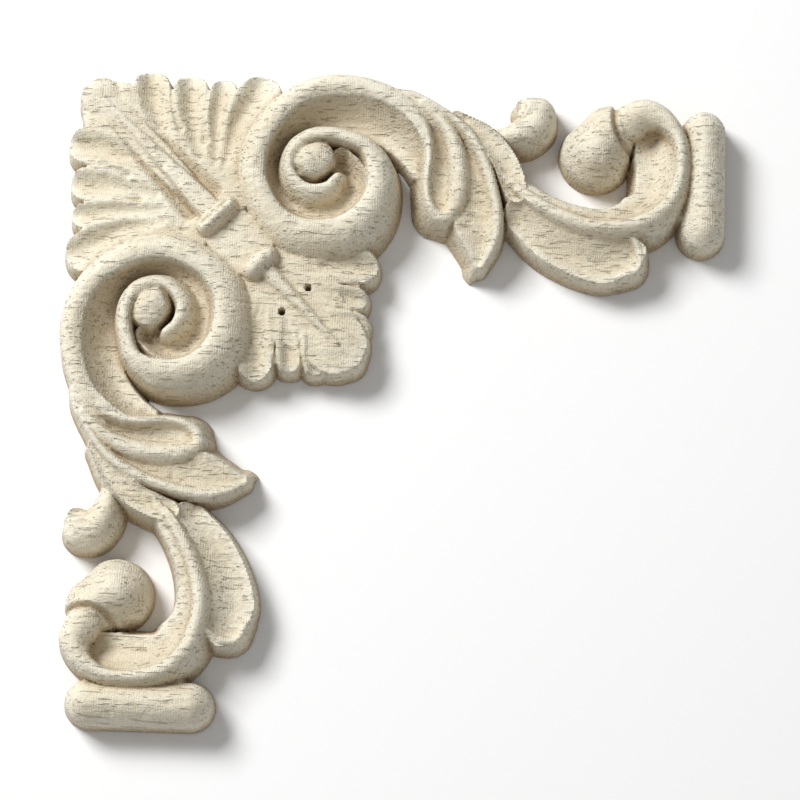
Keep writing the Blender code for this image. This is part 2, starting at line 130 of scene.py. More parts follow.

# Colours of the raw wood, and tones for the painted shade and painted highlight on it
LIGHT_WOOD = (0.83, 0.78, 0.635, 1.0)
CREAM_WOOD = (0.75, 0.68, 0.52, 1.0)
GRAIN_TONE = (0.56, 0.46, 0.315, 1.0)
# painted shade for hollows and creases, also the faint tone of the tool lines
PAINTED_SHADE_AND_TOOL_LINE_TONE = (0.44, 0.325, 0.19, 1.0)
# painted shade on the steep walls
WALL_SHADE_TONE = (0.50, 0.385, 0.24, 1.0)
PORE_TONE = (0.25, 0.165, 0.085, 1.0)
# painted highlight on the crests, also the pale tone of the random mottle
PALE_MOTTLE_AND_HIGHLIGHT_TONE = (0.88, 0.85, 0.74, 1.0)
FLOOR_TONE = (0.98, 0.98, 0.98, 1.0)


def curve(points, count):
    """Points evenly spaced along a smooth curve, and how far each is through the given points."""
    p = np.array(points, float)
    ends = np.vstack([2 * p[0] - p[1], p, 2 * p[-1] - p[-2]])
    t = np.linspace(0, 1, CURVE_STEPS, endpoint=False)[:, None]
    stretches = []
    for k in range(len(p) - 1):
        q0, q1, q2, q3 = ends[k:k + 4]
        bend = 2 * q0 - 5 * q1 + 4 * q2 - q3
        twist = 3 * q1 - q0 - 3 * q2 + q3
        stretches.append(0.5 * (2 * q1 + (q2 - q0) * t + bend * t ** 2 + twist * t ** 3))
    line = np.vstack(stretches + [p[-1:]])
    run = np.r_[0, np.cumsum(np.hypot(*np.diff(line, axis=0).T))]
    even = np.linspace(0, run[-1], count)
    through = np.linspace(0, 1, len(line))
    return np.c_[np.interp(even, run, line[:, 0]), np.interp(even, run, line[:, 1]),
                 np.interp(even, run, through)]


def along(values, share):
    """Values given for the points of a path, read at a share of the way through them."""
    values = np.atleast_1d(np.asarray(values, float))
    if len(values) < 3:
        return np.interp(share, np.linspace(0, 1, len(values)), values)
    smooth = curve(np.c_[np.linspace(0, 1, len(values)), values], FINE_STEPS)
    return np.interp(share, smooth[:, 0], smooth[:, 1])


def both_sides(values, left, share):
    """Values for the left and right side of travel: a pair of lists, or one list for both."""
    if isinstance(values, tuple) and isinstance(values[0], tuple):
        return left * along(values[0], share) + (1 - left) * along(values[1], share)
    return along(values, share)


class Relief:
    """Heights of the carved side over a grid of points."""

    def __init__(self, a, b):
        self.a = a
        self.b = b
        self.z = np.full(a.shape, EMPTY)

    def near(self, line, reach):
        """The grid points near a line: which they are, how far off, on which side, how far along."""
        low = line[:, :2].min(axis=0) - reach
        high = line[:, :2].max(axis=0) + reach
        here = (self.a > low[0]) & (self.a < high[0]) & (self.b > low[1]) & (self.b < high[1])
        a = self.a[here]
        b = self.b[here]
        best = np.full(a.shape, FAR)
        share = np.zeros(a.shape)
        left = np.zeros(a.shape)
        for k in range(len(line) - 1):
            start = line[k, :2]
            step = line[k + 1, :2] - start
            t = np.clip(((a - start[0]) * step[0] + (b - start[1]) * step[1]) / (step @ step), 0, 1)
            off_a = a - start[0] - t * step[0]
            off_b = b - start[1] - t * step[1]
            distance = off_a ** 2 + off_b ** 2
            nearer = distance < best
            best[nearer] = distance[nearer]
            share[nearer] = (line[k, 2] + t * (line[k + 1, 2] - line[k, 2]))[nearer]
            turn = (step[0] * off_b - step[1] * off_a) / np.sqrt((step @ step) * (distance + TINY))
            left[nearer] = np.clip(0.5 + SIDE_SHARPNESS * turn, 0, 1)[nearer]
        return here, np.sqrt(best), left, share

    def add(self, path, width, middle, edge, power=2.0, wall=WALL_SLOPE, count=STROKE_STEPS):
        """Raises a form along a path: half width, middle height and edge height from start to end."""
        here, distance, left, share = self.near(curve(path, count), FORM_REACH)
        half = both_sides(width, left, share)
        top = along(middle, share)
        side = both_sides(edge, left, share)
        fall = np.maximum(distance - half, 0) * both_sides(wall, left, share)
        height = top + (side - top) * np.clip(distance / half, 0, 1) ** power - fall
        old = self.z[here]
        blend = np.maximum(SOFTNESS - np.abs(old - height), 0) / SOFTNESS
        self.z[here] = np.maximum(old, height) + blend ** 2 * SOFTNESS / 4

    def cut(self, path, width, floor, slope):
        """Cuts a groove along a path: flat to the half width, then rising at the slope."""
        here, distance, left, share = self.near(curve(path, STROKE_STEPS), CUT_REACH)
        height = along(floor, share) + np.maximum(distance - along(width, share), 0) * slope
        old = self.z[here]
        blend = np.maximum(SOFTNESS - np.abs(old - height), 0) / SOFTNESS
        self.z[here] = np.minimum(old, height) - blend ** 2 * SOFTNESS / 4

    def scoop(self, path, width, depth):
        """Hollows a shallow dish along a path, fading out at its sides."""
        here, distance, left, share = self.near(curve(path, STROKE_STEPS), CUT_REACH)
        across = np.clip(distance / along(width, share), 0, 1)
        self.z[here] -= along(depth, share) * (1 - across ** 2) ** 2


def corner_leaf(form):
    """The leaf that fills the outer corner: hollow lobes with sharp ridges between, and a midrib."""
    form.add([(6.2, 5.8), (15, 9.6), (22, 9.8), (31, 10.4)], (3.8, 6.0, 6.2, 6.2), (8.7, 8.7, 8.7, 8.7),
             (7.9, 7.6, 7.6, 7.6), wall=OUTER_WALL)
    form.add([(9, 8), (18, 14), (27, 20)], (3.0, 5.4, 7.0), (8.8, 8.8, 8.8), (8.4, 8.4, 8.4), wall=3)
    lobes = (((18, 14), (15.2, 8), (15.0, 3.6)), ((22.0, 15), (22, 9), (22.2, 4.0)),
             ((26, 16), (27, 9), (28.2, 3.7)), ((29, 18), (31, 10), (35, 4.3)))
    for lobe, width in zip(lobes, (3.4, 3.2, 2.4, 3.8)):
        form.add(lobe, (2, width, width), (8.2, 8.6, 8.2), (7.8, 8.4, 7.8), wall=OUTER_WALL)
    form.scoop([(18.6, 14.5), (15.8, 7), (14.9, 0.2)], (1.8, 3.0, 3.3), (0.5, 2.1, 2.6))
    form.scoop([(24.2, 16.5), (22.6, 8), (22.2, 0.2)], (1.6, 2.8, 3.2), (0.5, 2.1, 2.6))
    form.scoop([(27.2, 17.5), (27.3, 9), (28.3, 0.6)], (1.4, 2.2, 2.5), (0.5, 1.8, 2.3))
    form.scoop([(29.0, 18), (30.6, 11), (34.0, 4.6), (36, 0.6)], (1.2, 2.6, 3.2, 3.4),
               (0.4, 1.9, 2.3, 1.8))
    form.scoop([(10.4, 7.4), (8.2, 4.2), (7.8, 1.1)], (1.2, 2.4, 2.6), (0.1, 0.9, 1.1))
    form.scoop([(18.6, 2.0), (19.0, 7.5), (20.6, 11.5)], (0.6, 0.7, 1.1), (0.3, 0.4, 0.9))
    form.scoop([(25.3, 3.0), (25.0, 9.5), (25.2, 13.6)], (0.6, 0.6, 1.1), (0.3, 0.4, 1.0))
    form.scoop([(6.8, 5.2), (14, 11.6), (21, 17.9), (27.0, 23.2)], (0.6, 1.8, 2.4, 2.6),
               (0.8, 1.8, 2.3, 2.2))
    form.add([(4.6, 4.6), (27.0, 27.0)], (0.2, 2.1), (8.8, 10.9), (8.5, 10.0), power=3, wall=6)


def inner_leaf(form):
    """The small leaf in the inner corner, with its midrib on the diagonal."""
    form.add([(39, 39), (50.2, 50.2)], (8.2, 5.8), (8.2, 7.8), (7.8, 7.2), wall=INNER_EDGE_WALL)
    form.add([(52.0, 37.0), (52.4, 47.0)], (2.2, 2.2), (6.8, 6.8), (6.4, 6.4), wall=INNER_EDGE_WALL)
    lobes = (((42, 37), (48, 36.2), (54.4, 35.8)), ((43, 41), (49, 41.4), (53.8, 42.0)),
             ((45, 44.5), (50, 46.0), (54.2, 46.8)), ((46, 46), (50, 50), (52.6, 52.6)))
    for lobe, width in zip(lobes, (3.2, 2.1, 2.1, 2.8)):
        form.add(lobe, (2.0, width, width), (7.8, 8.2, 7.6), (7.4, 8.0, 7.2), wall=INNER_EDGE_WALL)
    form.scoop([(43.6, 36.9), (50, 36.0), (57, 35.8)], (1.0, 2.6, 3.2), (0.2, 1.2, 1.8))
    form.scoop([(46.2, 41.2), (51, 41.7), (57, 42.3)], (0.8, 1.8, 2.2), (0.2, 1.2, 1.8))
    form.scoop([(48.0, 45.4), (52, 46.3), (57, 47.2)], (0.8, 1.7, 2.1), (0.2, 1.1, 1.6))
    form.scoop([(39.8, 37.0), (45, 42.4), (50.5, 48.2)], (1.3, 1.6, 0.9), (1.1, 1.6, 0.5))
    form.scoop([(53.2, 50.2), (57.0, 51.6)], (0.9, 1.3), (0.3, 1.6))
    form.add([(37, 37), (50.6, 50.6)], (1.4, 0.5), (10.0, 8.8), (9.0, 8.2), wall=2.5)


def beads(form):
    """Two beads across the diagonal with a small smooth plate between them."""
    form.add([(30.2, 30.2), (33.6, 33.6)], (4.6, 4.8), (8.9, 8.9), (8.6, 8.6), wall=3)
    form.add([(30.0, 25.2), (33.4, 23.2)], (2.2, 2.2), (8.8, 8.8), (8.6, 8.6), wall=3)
    form.add([(27.9, 27.9), (29.9, 25.9)], (2.0, 1.7), (12.0, 11.6), (9.8, 9.6), wall=5)
    form.scoop([(27.6, 27.6), (29.8, 25.4)], (0.6, 0.6), (0.8, 0.8))
    form.add([(36.2, 36.2), (37.5, 34.9)], (2.3, 1.9), (12.0, 11.4), (9.2, 9.0), wall=5)


def volute(form):
    """The large scroll: a cove that winds in to the eye, its rounded rim, and the ball."""
    cove = [(64, 17.6), (62.5, 14.6), (59.5, 12), (56, 10.6), (51.5, 9.7), (47.3, 9.9), (43.3, 11),
            (40, 13.6), (38.6, 17.4), (39.2, 21.4), (41.8, 24.8), (45.4, 26.3), (49, 25.4),
            (51.6, 22.9), (52.2, 19.6), (50.2, 16.6)]
    form.add(cove,
             ((1.4, 3.3, 4.4, 5.1, 5.2, 5.0, 4.1, 3.1, 2.9, 2.8, 3.0, 2.8, 3.0, 3.2, 2.6, 2.2),
              (1.0, 1.6, 1.7, 1.5, 1.4, 1.4, 1.4, 1.4, 1.4, 1.4, 1.4, 1.2, 1.2, 1.3, 1.8, 2.3)),
             (5.2, 5.2, 5.2, 5.2, 5.2, 5.4, 5.6, 5.8, 6.0, 6.2, 6.2, 6.0, 5.8, 5.4, 5.0, 4.6),
             ((9.0, 10.2, 11, 11.2, 11.4, 11.4, 11.4, 11.2, 11, 11, 11, 11, 11, 10.8, 10.4, 9.4),
              (5.0, 5.0, 5.0, 5.2, 5.6, 5.8, 6.0, 6.2, 6.4, 6.6, 6.6, 6.4, 6.0, 5.8, 6.6, 8.6)),
             power=1.8, wall=COVE_WALLS, count=160)
    crest = [(66.2, 12.8), (64.6, 9.4), (61.8, 6.4), (58.3, 4.6), (53.8, 3.2), (48.6, 2.9), (43.6, 4.4),
             (39.3, 7.8), (35.7, 13.4), (34.7, 18.7), (35.8, 23), (38.3, 27), (41.9, 29.4), (46.1, 30),
             (50.8, 29.1), (54.8, 26), (56.6, 22), (56.5, 17.8), (54.5, 14.4), (51.5, 12.9), (48, 12.2),
             (44.5, 12.6), (41.8, 14.5), (40.8, 17.4), (41.8, 20.3), (44.6, 22.1), (47.6, 21.6),
             (49.4, 19.8)]
    outer_width = (0.8, 1.4, 1.9, 2.2, 2.2, 2.3, 2.4, 2.8, 3.2, 3.3, 3.4, 3.8, 4.4, 4.8, 5.0, 4.4, 3.6,
                   3.0, 2.0, 1.6, 1.5, 1.5, 1.5, 1.8, 2.6, 3.2, 2.8, 1.6)
    inner_width = (1.2,) + (1.6,) * 17 + (1.0,) * 4 + (1.2, 0.9, 0.8, 0.8, 0.8, 0.8)
    height = (10.6, 11.2, 11.6) + (12.0,) * 18 + (11.8, 11.6, 11.2, 10.8, 10.6, 10.4, 9.8)
    outer_edge = (9.4, 9.6, 9.8, 9.8, 9.8, 9.8, 9.8, 9.6, 9.4, 9.2, 9.0, 8.6, 8.4, 8.2, 8.0, 8.2, 8.6,
                  9.4, 10.2, 10.4, 10.4, 10.2, 9.6, 8.4, 7.0, 6.2, 6.4, 7.6)
    inner_edge = (10.0,) + (11.2,) * 21 + (11.0, 10.6, 10.0, 9.8, 9.6, 9.2)
    wall = (12, 14, 14, 14, 14, 14, 12, 9, 7, 5, 4, 4, 4, 5, 6, 8, 8, 8, 7, 7, 7, 7, 6, 4)
    form.add(crest, (outer_width, inner_width), height, (outer_edge, inner_edge), wall=wall, count=260)
    form.add([(44.4, 16.6), (45.4, 16.2)], (3.5, 3.3), (11.6, 11.4), (9.8, 9.8))
    form.scoop([(42.2, 18.8), (44.4, 20.4), (47.0, 19.9), (48.9, 18.2)], (0.8, 1.1, 1.2, 1.1),
               (0.5, 1.5, 1.9, 1.6))


def leaf_spray(form):
    """The folded leaf that grows from the volute's band: rounded lobe, pointed leaf and small lobe."""
    form.add([(57, 4.6), (62, 5.4), (67.5, 7.9), (72, 9.8), (76, 10.6)], (1.6, 2.5, 2.4, 1.9, 1.6),
             (11.0, 10.8, 10.2, 9.6, 9.0), (9.8, 9.2, 8.6, 8.0, 7.4), wall=OUTER_WALL)
    form.add([(63.5, 6.4), (67, 10), (68.6, 15), (68.8, 20), (68.6, 24.0)],
             ((0.8, 2.2, 2.6, 2.8, 2.4), (1.0, 2.2, 2.8, 2.8, 2.4)),
             (10.2, 8.4, 7.4, 7.2, 7.6), (10.8, 10.2, 9.8, 9.4, 8.8), wall=FOLD_WALLS)
    form.add([(62.8, 6.4), (65.4, 10.3), (66.2, 15), (65.9, 19.5), (66.2, 23.2), (67.6, 25.8), (69.4, 26.4)],
             (0.7, 0.7, 0.8, 0.8, 0.8, 1.0, 1.2), (11.0, 10.8, 10.4, 10.0, 9.6, 9.2, 9.0),
             (10.2, 9.8, 9.2, 8.8, 8.6, 8.2, 8.0), wall=4.5)
    form.add([(66, 6.2), (70, 9.0), (73.0, 12.8), (75.0, 18), (76.2, 23.5), (76.4, 29), (75.9, 34.6)],
             ((0.7, 1.8, 2.8, 4.2, 5.4, 4.6, 0.8), (0.6, 1.2, 1.5, 1.8, 2.0, 1.6, 0.6)),
             (9.8, 8.8, 8.2, 7.8, 7.2, 6.8, 6.2),
             ((10.8, 10.6, 10.4, 9.8, 8.6, 7.8, 6.6), (10.8, 10.6, 10.4, 10.0, 9.4, 8.4, 6.8)),
             power=1.3, wall=FOLD_WALLS)
    form.add([(64.8, 5.6), (68.6, 9.2), (70.8, 13), (71.8, 18), (71.6, 22.6), (70.4, 25.8)],
             (0.8, 1.1, 1.5, 1.8, 1.8, 1.4), (11.2, 11.0, 10.8, 10.4, 9.8, 9.2),
             (10.2, 9.8, 9.4, 8.8, 8.4, 8.0), wall=FOLD_WALLS)
    form.add([(65.4, 5.2), (69.8, 7.9), (73.3, 11), (76.2, 15.8), (78.0, 21), (79.0, 26), (78.6, 30.5),
              (76.4, 35.2)],
             (0.6, 0.7, 0.9, 1.0, 1.0, 1.0, 0.9, 0.5), (11.2, 11.2, 11.0, 10.6, 10.2, 9.6, 8.6, 6.6),
             (10.4, 10.2, 10.0, 9.6, 9.2, 8.6, 7.6, 6.2), wall=FOLD_WALLS)
    form.add([(71, 7.8), (76.0, 11.1), (79.4, 14.8), (81.4, 18.8), (82.2, 21.6)],
             (1.0, 1.9, 2.1, 2.2, 1.9), (9.6, 9.0, 8.8, 8.6, 8.4), (10.2, 10.4, 10.2, 9.8, 9.2), wall=7)


def hook(form):
    """The small hook that curls outwards, hollowed on its inner side."""
    form.add([(72, 9.6), (76, 10.8), (79.6, 10.9), (83.2, 9.8), (85.6, 7.8), (86.0, 5.9)],
             (1.4, 1.6, 2.0, 3.2, 3.5, 3.2), (9.2, 9.0, 9.0, 9.0, 8.6, 8.4),
             (7.6, 7.0, 6.4, 5.8, 5.4, 5.8), wall=8)
    form.add([(84.0, 5.1), (86.4, 5.1)], (2.2, 2.2), (8.2, 8.0), (6.8, 6.4), wall=10)
    form.scoop([(82.0, 7.8), (82.9, 5.2), (83.4, 3.0)], (1.0, 1.4, 1.1), (0.6, 1.6, 0.8))


def curled_end(form):
    """The stem with its raised rim, curling round to the ball, and the lower leaf beside it."""
    form.add([(82.5, 26.5), (87.5, 30), (93, 32.8), (98.5, 34), (102.5, 33.4)],
             ((1.8, 2.9, 3.2, 3.5, 2.6), (3.5, 4.8, 5.6, 6.0, 4.4)), (6.2, 6.2, 6.0, 6.0, 6.2),
             ((6.4, 6.8, 6.8, 6.8, 7.2), (8.8, 9.8, 10.2, 10.2, 8.4)), power=1.5, wall=7)
    form.add([(100.5, 27.6), (103.6, 29.2), (105.2, 32.2), (104.6, 34.8), (101.5, 36.2)],
             (0.8, 0.7, 0.7, 0.6, 0.5), (10.2, 9.2, 8.2, 7.6, 7.2), (9.4, 8.4, 7.6, 7.0, 6.6), wall=5)
    stem = [(80.5, 17.4), (84.5, 20.6), (89, 23.0), (94, 24.5), (99, 25.0), (103.2, 23.8),
            (106.4, 20.4), (107.3, 15.4), (107.0, 10.6)]
    form.add(stem,
             ((1.4, 2.4, 2.6, 2.6, 2.6, 2.8, 3.6, 4.4, 3.6), (1.2, 1.2, 1.2, 1.2, 1.6, 2.6, 3.4, 3.6, 3.0)),
             (8.6, 8.8, 8.8, 8.6, 8.0, 6.8, 6.0, 5.4, 4.6),
             ((9.4, 10.2, 10.6, 10.8, 10.8, 10.8, 10.8, 10.4, 8.0),
              (7.8, 7.6, 7.4, 7.2, 6.8, 6.2, 5.8, 5.8, 5.8)),
             power=1.7, wall=9, count=90)
    rim = [(81.5, 19.6), (84.5, 22.3), (88.5, 24.9), (93, 26.8), (97.5, 27.8), (102.5, 27.4),
           (107.6, 25.2), (111.0, 21.2), (112.2, 16.0), (111.6, 10.9), (109.2, 7.1), (105.8, 5.8),
           (102.8, 7.2)]
    form.add(rim,
             ((0.8, 1.1, 1.3, 1.5, 1.7, 2.2, 2.8, 2.4, 1.9, 1.8, 1.9, 2.6, 3.0),
              (0.8, 1.0, 1.2, 1.2, 1.2, 1.2, 1.2, 1.1, 1.0, 1.0, 1.8, 2.9, 3.1)),
             (9.4, 10.4, 10.8, 11, 11.2, 11.2, 11.2, 11.2, 11.2, 11.2, 11.2, 11.0, 10.8),
             ((8.4, 9.0, 9.2, 9.2, 9.0, 8.0, 7.4, 7.6, 8.2, 9.0, 9.2, 9.0, 8.8),
              (8.6, 9.4, 9.8, 10.2, 10.4, 10.4, 10.4, 10.4, 10.4, 10.4, 9.6, 8.6, 8.6)),
             wall=(6, 5, 4, 4, 4, 4, 6, 8, 9, 12, 12, 12, 10), count=160)
    form.add([(99.2, 8.8), (97.0, 12.6)], (5.0, 6.3), (11.2, 11.4), (5.6, 4.8), wall=9)
    form.scoop([(101.6, 1.8), (100.1, 4.8), (99.9, 8.2), (101.2, 11.2), (103.4, 12.8)],
               (0.6, 0.8, 0.9, 0.9, 0.9), (1.0, 1.8, 2.0, 2.0, 1.4))
    form.cut([(103.4, 13.4), (103.2, 15.2), (102.3, 19.0)], (0.2, 0.3, 0.5), (4.4, 2.0, -0.5), slope=4)


def end_bar(form):
    """The rounded bar across the arm's end, with the cove beside it."""
    form.add([(112.9, 9.4), (112.9, 23.6)], (1.6, 1.6), (6.6, 6.6), (6.8, 6.8), wall=8)
    form.add([(116.6, 8.5), (116.6, 26.6)], (3.9, 3.9), (10.2, 10.2), (6.6, 6.6), wall=10)


def arm_relief(a, b):
    """Heights of one arm, which its mirror image completes."""
    form = Relief(a, b)
    corner_leaf(form)
    inner_leaf(form)
    volute(form)
    beads(form)
    leaf_spray(form)
    hook(form)
    curled_end(form)
    end_bar(form)
    return form.z


def inside_polygons(z):
    """Cuts the grid along z = 0. Gives the points, and the faces as lists of point numbers."""
    points = []
    corner_ids = -np.ones(z.shape, int)
    for i, j in zip(*np.nonzero(z > 0)):
        corner_ids[i, j] = len(points)
        points.append((float(j), float(i), float(z[i, j])))
    crossing_ids = {}

    def crossing(p, q):
        key = (min(p, q), max(p, q))
        if key not in crossing_ids:
            zp, zq = z[key[0]], z[key[1]]
            share = min(max(zp / (zp - zq), CROSSING_MARGIN), 1 - CROSSING_MARGIN)
            row = key[0][0] + share * (key[1][0] - key[0][0])
            col = key[0][1] + share * (key[1][1] - key[0][1])
            crossing_ids[key] = len(points)
            points.append((col, row, 0.0))
        return crossing_ids[key]

    faces = []
    any_inside = (z[:-1, :-1] > 0) | (z[1:, :-1] > 0) | (z[:-1, 1:] > 0) | (z[1:, 1:] > 0)
    for i, j in zip(*np.nonzero(any_inside)):
        ring = [(i, j), (i, j + 1), (i + 1, j + 1), (i + 1, j)]
        face = []
        for p, q in zip(ring, ring[1:] + ring[:1]):
            if z[p] > 0:
                face.append(corner_ids[p])
            if (z[p] > 0) != (z[q] > 0):
                face.append(crossing(p, q))
        faces.append(face)
    return points, faces


def place(a, b, height):
    """A point of the design, in metres in the model's frame."""
    return ((a - ORIGIN) * MM, (ORIGIN - b) * MM, height * MM)


def patches(a, b, length, width, seed):
    """Smooth random values from 0 to 1, in patches that are long along the grain."""
    u = (a + EDGE_MARGIN) / length
    v = (b + EDGE_MARGIN) / width
    column = np.floor(u).astype(int)
    row = np.floor(v).astype(int)
    table = np.random.default_rng(seed).random((row.max() + 2, column.max() + 2))
    s = u - column
    t = v - row
    s = s * s * (3 - 2 * s)
    t = t * t * (3 - 2 * t)
    upper = table[row, column] * (1 - s) + table[row, column + 1] * s
    lower = table[row + 1, column] * (1 - s) + table[row + 1, column + 1] * s
    return upper * (1 - t) + lower * t


def opened(a, b, sizes, seed):
    """Pores or nicks: how deep the wood is opened at each point."""
    length, width, depth = sizes
    values = patches(a, b, length, width, seed)
    return depth * np.clip((values - OPEN_FROM) / (OPEN_FULL - OPEN_FROM), 0, 1)


def fine_marks(a, b):
    """How much the tool and the open grain take off the smooth form."""
    taken = TOOL_WAVES[2] * patches(a, b, TOOL_WAVES[0], TOOL_WAVES[1], WAVE_SEED)
    taken += FUZZ[2] * patches(a, b, FUZZ[0], FUZZ[1], FUZZ_SEED)
    taken += opened(a, b, OPEN_GRAIN, GRAIN_SEED)
    return taken + opened(a, b, NICKS, NICK_SEED)


def blurred(z, reach):
    """The heights averaged over their surroundings."""
    steps = np.arange(-int(BLUR_SPAN * reach), int(BLUR_SPAN * reach) + 1)
    weights = np.exp(-0.5 * (steps / reach) ** 2)
    weights /= weights.sum()
    rows = np.apply_along_axis(np.convolve, 1, z, weights, "same")
    return np.apply_along_axis(np.convolve, 0, rows, weights, "same")


def carved_heights(grid_a, grid_b):
    """Heights of both arms with their fine marks and the two pin holes."""
    half = arm_relief(grid_a, grid_b)
    z = np.maximum(half, half.T) - fine_marks(grid_a, grid_b)
    for hole_a, hole_b in (PIN_HOLE, PIN_HOLE[::-1]):
        reach = np.hypot(grid_a - hole_a, grid_b - hole_b)
        z = np.minimum(z, PIN_DEPTH + np.maximum(reach - PIN_FLOOR, 0) * PIN_SLOPE)
    return z


def store_hollows(mesh, z, points):
    """Keeps on the mesh how far each point lies in a hollow or stands on a crest."""
    top = np.maximum(z, 0)
    under = blurred(top, HOLLOW_REACH / CELL) - top
    depths = np.array([under[round(row), round(col)] for col, row, height in points])
    # hollow values set the painted shade, and crest values the painted highlight, in the wood's colour
    for name, values in (("hollow", depths / HOLLOW_DEPTH), ("crest", -depths / CREST_HEIGHT)):
        layer = mesh.attributes.new(name, "FLOAT", "POINT")
        layer.data.foreach_set("value", np.clip(values, 0, 1))


def carving():
    """The carved board as a fine closed mesh with a flat back."""
    a = np.arange(-EDGE_MARGIN, ARM_LENGTH + EDGE_MARGIN, CELL)
    z = carved_heights(*np.meshgrid(a, a))
    points, faces = inside_polygons(z)
    verts = [place(a[0] + col * CELL, a[0] + row * CELL, height) for col, row, height in points]
    mesh = bpy.data.meshes.new("carved_surface")
    mesh.from_pydata(verts, [], [face[::-1] for face in faces])
    store_hollows(mesh, z, points)
    close_back(mesh)
    mesh.shade_smooth()
    mesh.set_sharp_from_angle(angle=math.radians(SHARP_EDGE))
    piece = bpy.data.objects.new("carved_surface", mesh)
    bpy.context.collection.objects.link(piece)
    return piece


def close_back(mesh):
    """Fills the outline with the flat back and turns all faces outwards."""
    bm = bmesh.new()
    bm.from_mesh(mesh)
    rim = [edge for edge in bm.edges if edge.is_boundary]
    bmesh.ops.holes_fill(bm, edges=rim, sides=0)
    bmesh.ops.recalc_face_normals(bm, faces=bm.faces)
    bm.to_mesh(mesh)
    bm.free()


class Nodes:
    """Adds and joins the nodes of one material."""

    def __init__(self, material):
        self.tree = material.node_tree
        self.place = self.tree.nodes.new("ShaderNodeTexCoord").outputs["Object"]

    def join(self, value, socket):
        """Puts a number, a colour or another node's output on a socket."""
        if isinstance(value, bpy.types.NodeSocket):
            self.tree.links.new(value, socket)
        else:
            socket.default_value = value

    def stored(self, name):
        """Values that the mesh carries for each of its points."""
        node = self.tree.nodes.new("ShaderNodeAttribute")
        node.attribute_name = name
        return node.outputs["Fac"]

    def sized(self, per_mm):
        """Place on the wood, with so many pattern steps for each millimetre along x, y and z."""
        node = self.tree.nodes.new("ShaderNodeMapping")
        self.join(self.place, node.inputs["Vector"])
        node.inputs["Scale"].default_value = [value / MM for value in per_mm]
        return node.outputs["Vector"]

    def noise(self, per_mm, detail=3.0):
        """Soft random values, with so many patches for each millimetre along x, y and z."""
        node = self.tree.nodes.new("ShaderNodeTexNoise")
        self.join(self.sized(per_mm), node.inputs["Vector"])
        node.inputs["Scale"].default_value = 1.0
        node.inputs["Detail"].default_value = detail
        return node.outputs["Fac"]

    def bands(self, per_mm, distortion):
        """Nearly even lines across x."""
        node = self.tree.nodes.new("ShaderNodeTexWave")
        self.join(self.sized((1, 1, 1)), node.inputs["Vector"])
        node.inputs["Scale"].default_value = per_mm * math.pi / LINES_OVER_PI
        node.inputs["Distortion"].default_value = distortion
        node.inputs["Detail Scale"].default_value = TOOL_LINE_DETAIL
        return node.outputs["Fac"]

    def spread(self, value, low, high, to_low=0.0, to_high=1.0):
        """Stretches the values between low and high over a new range."""
        node = self.tree.nodes.new("ShaderNodeMapRange")
        node.interpolation_type = "SMOOTHSTEP"
        for name, entry in (("Value", value), ("From Min", low), ("From Max", high),
                            ("To Min", to_low), ("To Max", to_high)):
            self.join(entry, node.inputs[name])
        return node.outputs["Result"]

    def calc(self, operation, first, second):
        """The sum or product of two values."""
        node = self.tree.nodes.new("ShaderNodeMath")
        node.operation = operation
        self.join(first, node.inputs[0])
        self.join(second, node.inputs[1])
        return node.outputs["Value"]

    def tint(self, share, first, second):
        """One colour going over into another."""
        node = self.tree.nodes.new("ShaderNodeMix")
        node.data_type = "RGBA"
        self.join(share, in_use(node.inputs, "Factor"))
        self.join(first, in_use(node.inputs, "A"))
        self.join(second, in_use(node.inputs, "B"))
        return in_use(node.outputs, "Result")


def in_use(sockets, name):
    """The socket of that name that the node uses now."""
    return next(socket for socket in sockets if socket.name == name and socket.enabled)


def wood_patterns(nodes):
    """The patterns that the colour and the relief of the wood share, each from 0 to 1."""
    facing = nodes.tree.nodes.new("ShaderNodeNewGeometry")
    parts = nodes.tree.nodes.new("ShaderNodeSeparateXYZ")
    nodes.join(facing.outputs["Normal"], parts.inputs["Vector"])
    tick_area = nodes.spread(nodes.noise((0.35, 0.22, 0.4)), 0.38, 0.60, TICK_LEAST, 1.0)
    return {
        # how steep the surface is: sets the painted shade on the walls and the streaks down them
        "steep": nodes.spread(parts.outputs["Z"], 0.75, 0.25),
        "cloud": nodes.spread(nodes.noise((0.05, 0.08, 0.08)), 0.35, 0.65),
        "grain": nodes.spread(nodes.noise((0.10, 1.1, 0.9), 5.0), 0.45, 0.72),
        "pores": nodes.spread(nodes.noise((0.20, 2.0, 1.4), 1.5), 0.625, 0.70),
        "short pores": nodes.spread(nodes.noise((0.5, 3.2, 2.4), 1.0), 0.68, 0.76),
        "wall marks": nodes.noise((2.6, 2.6, 0.14), 2.0),
        "ticks": nodes.calc("MULTIPLY", nodes.bands(TOOL_LINES, TOOL_LINE_BEND), tick_area),
        "fuzz": nodes.noise((2.0, 3.4, 2.2), 4.0),
        "mottle": nodes.noise((1.5, 2.6, 2.0), 5.0),
    }


